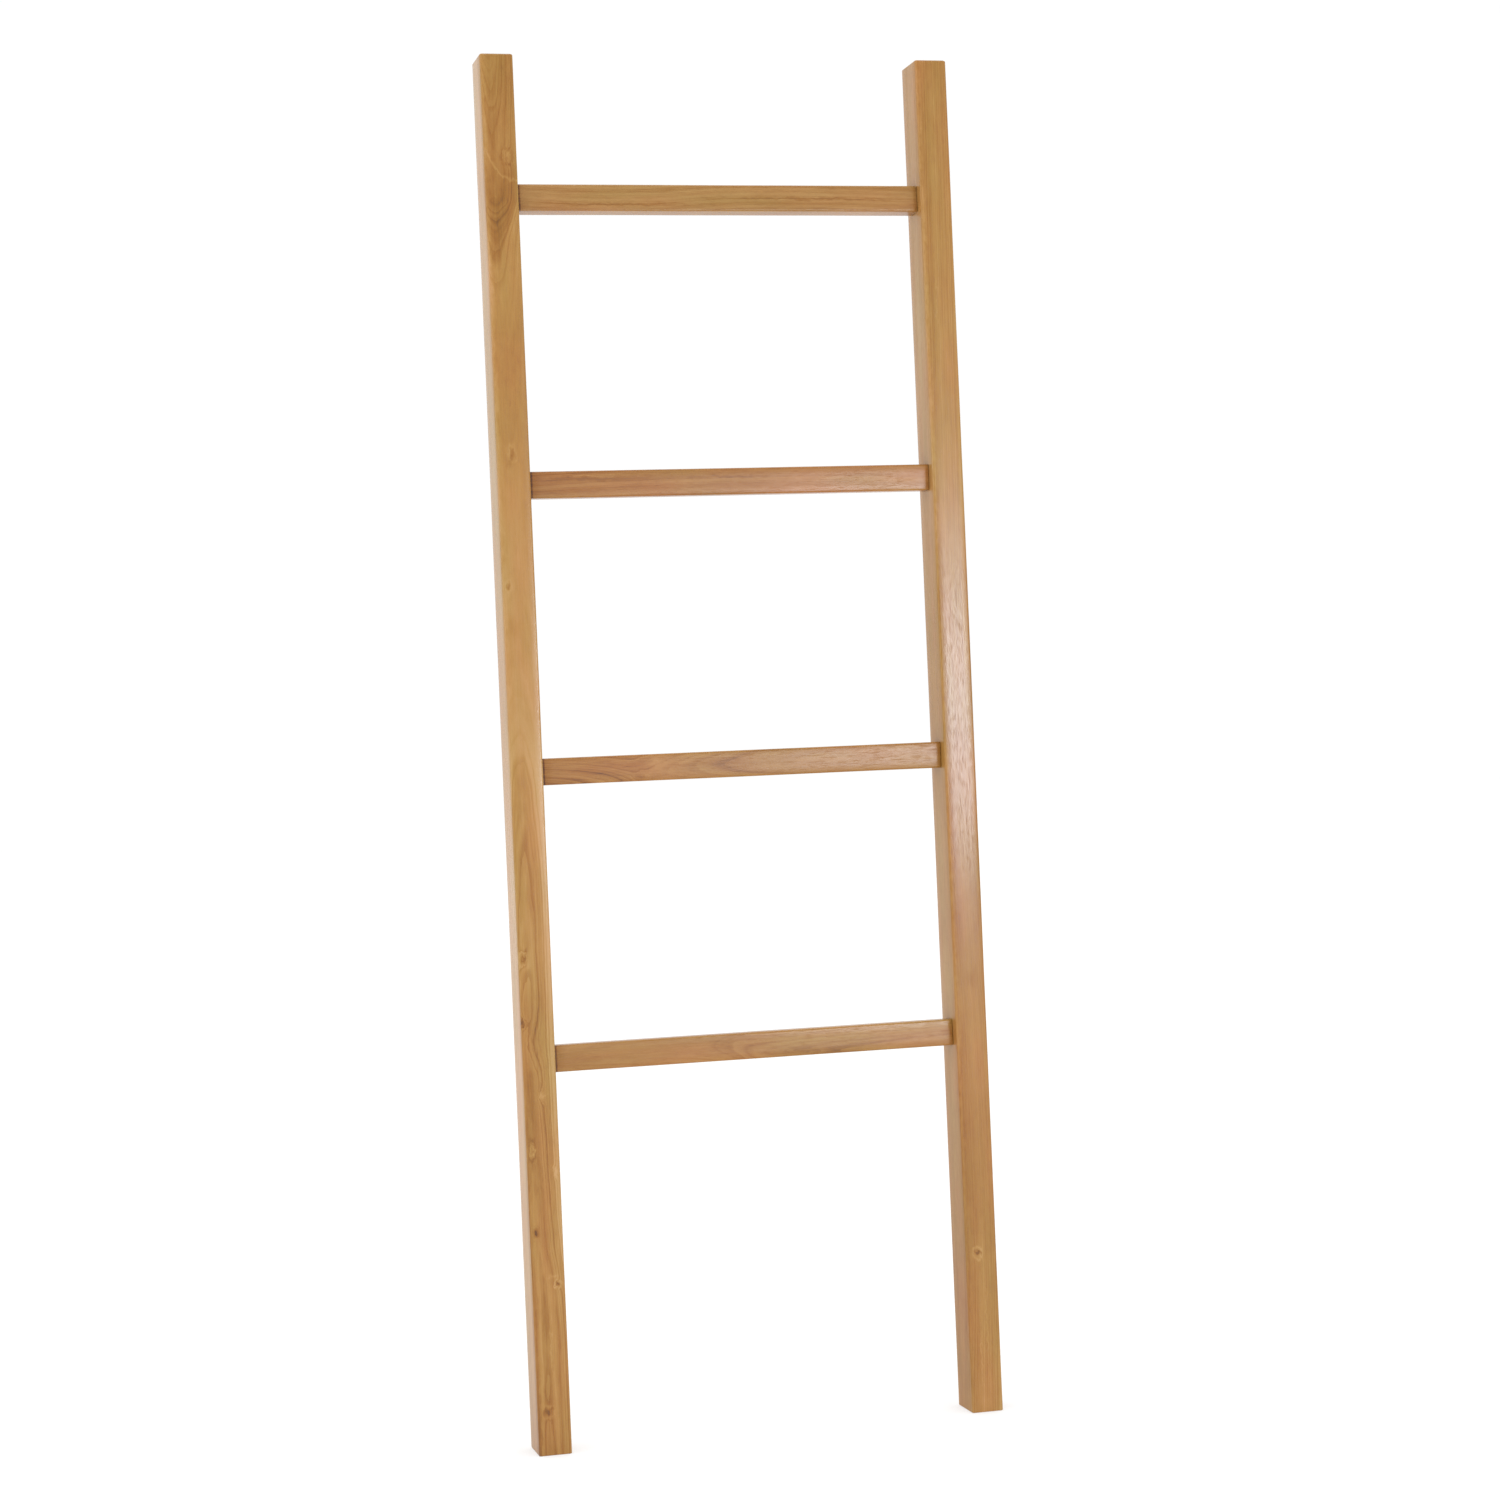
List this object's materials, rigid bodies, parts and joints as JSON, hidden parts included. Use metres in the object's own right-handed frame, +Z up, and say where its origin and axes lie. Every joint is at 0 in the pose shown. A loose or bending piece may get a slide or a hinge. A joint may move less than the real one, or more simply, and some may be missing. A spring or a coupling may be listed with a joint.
{
  "type": "leaning quilt ladder",
  "caption": "Leaning wooden quilt ladder: straight square-cut rails joined by level rungs that quilts and blankets hang over.",
  "frame": {"origin": "on the floor, midway between the rails and midway through their depth", "axes": "upright, not leaning: +Z up along the rails, +X from the left rail to the right rail as seen from the front, +Y from the front towards the wall"},
  "size_m": [0.523, 0.05, 1.5],
  "materials": {
    "rail_wood": "golden-brown teak, sanded and satin lacquered",
    "rung_wood": "golden-brown teak, sanded and satin lacquered",
    "dowel_wood": "plain turned hardwood, glued in and out of sight"
  },
  "bodies": {
    "root": {"rail_left": "rail_wood", "rail_right": "rail_wood", "rung_1": "rung_wood", "rung_2": "rung_wood", "rung_3": "rung_wood", "rung_4": "rung_wood", "dowel_1_left_lower": "dowel_wood", "dowel_1_left_upper": "dowel_wood", "dowel_1_right_lower": "dowel_wood", "dowel_1_right_upper": "dowel_wood", "dowel_2_left_lower": "dowel_wood", "dowel_2_left_upper": "dowel_wood", "dowel_2_right_lower": "dowel_wood", "dowel_2_right_upper": "dowel_wood", "dowel_3_left_lower": "dowel_wood", "dowel_3_left_upper": "dowel_wood", "dowel_3_right_lower": "dowel_wood", "dowel_3_right_upper": "dowel_wood", "dowel_4_left_lower": "dowel_wood", "dowel_4_left_upper": "dowel_wood", "dowel_4_right_lower": "dowel_wood", "dowel_4_right_upper": "dowel_wood"}
  },
  "joints": []
}
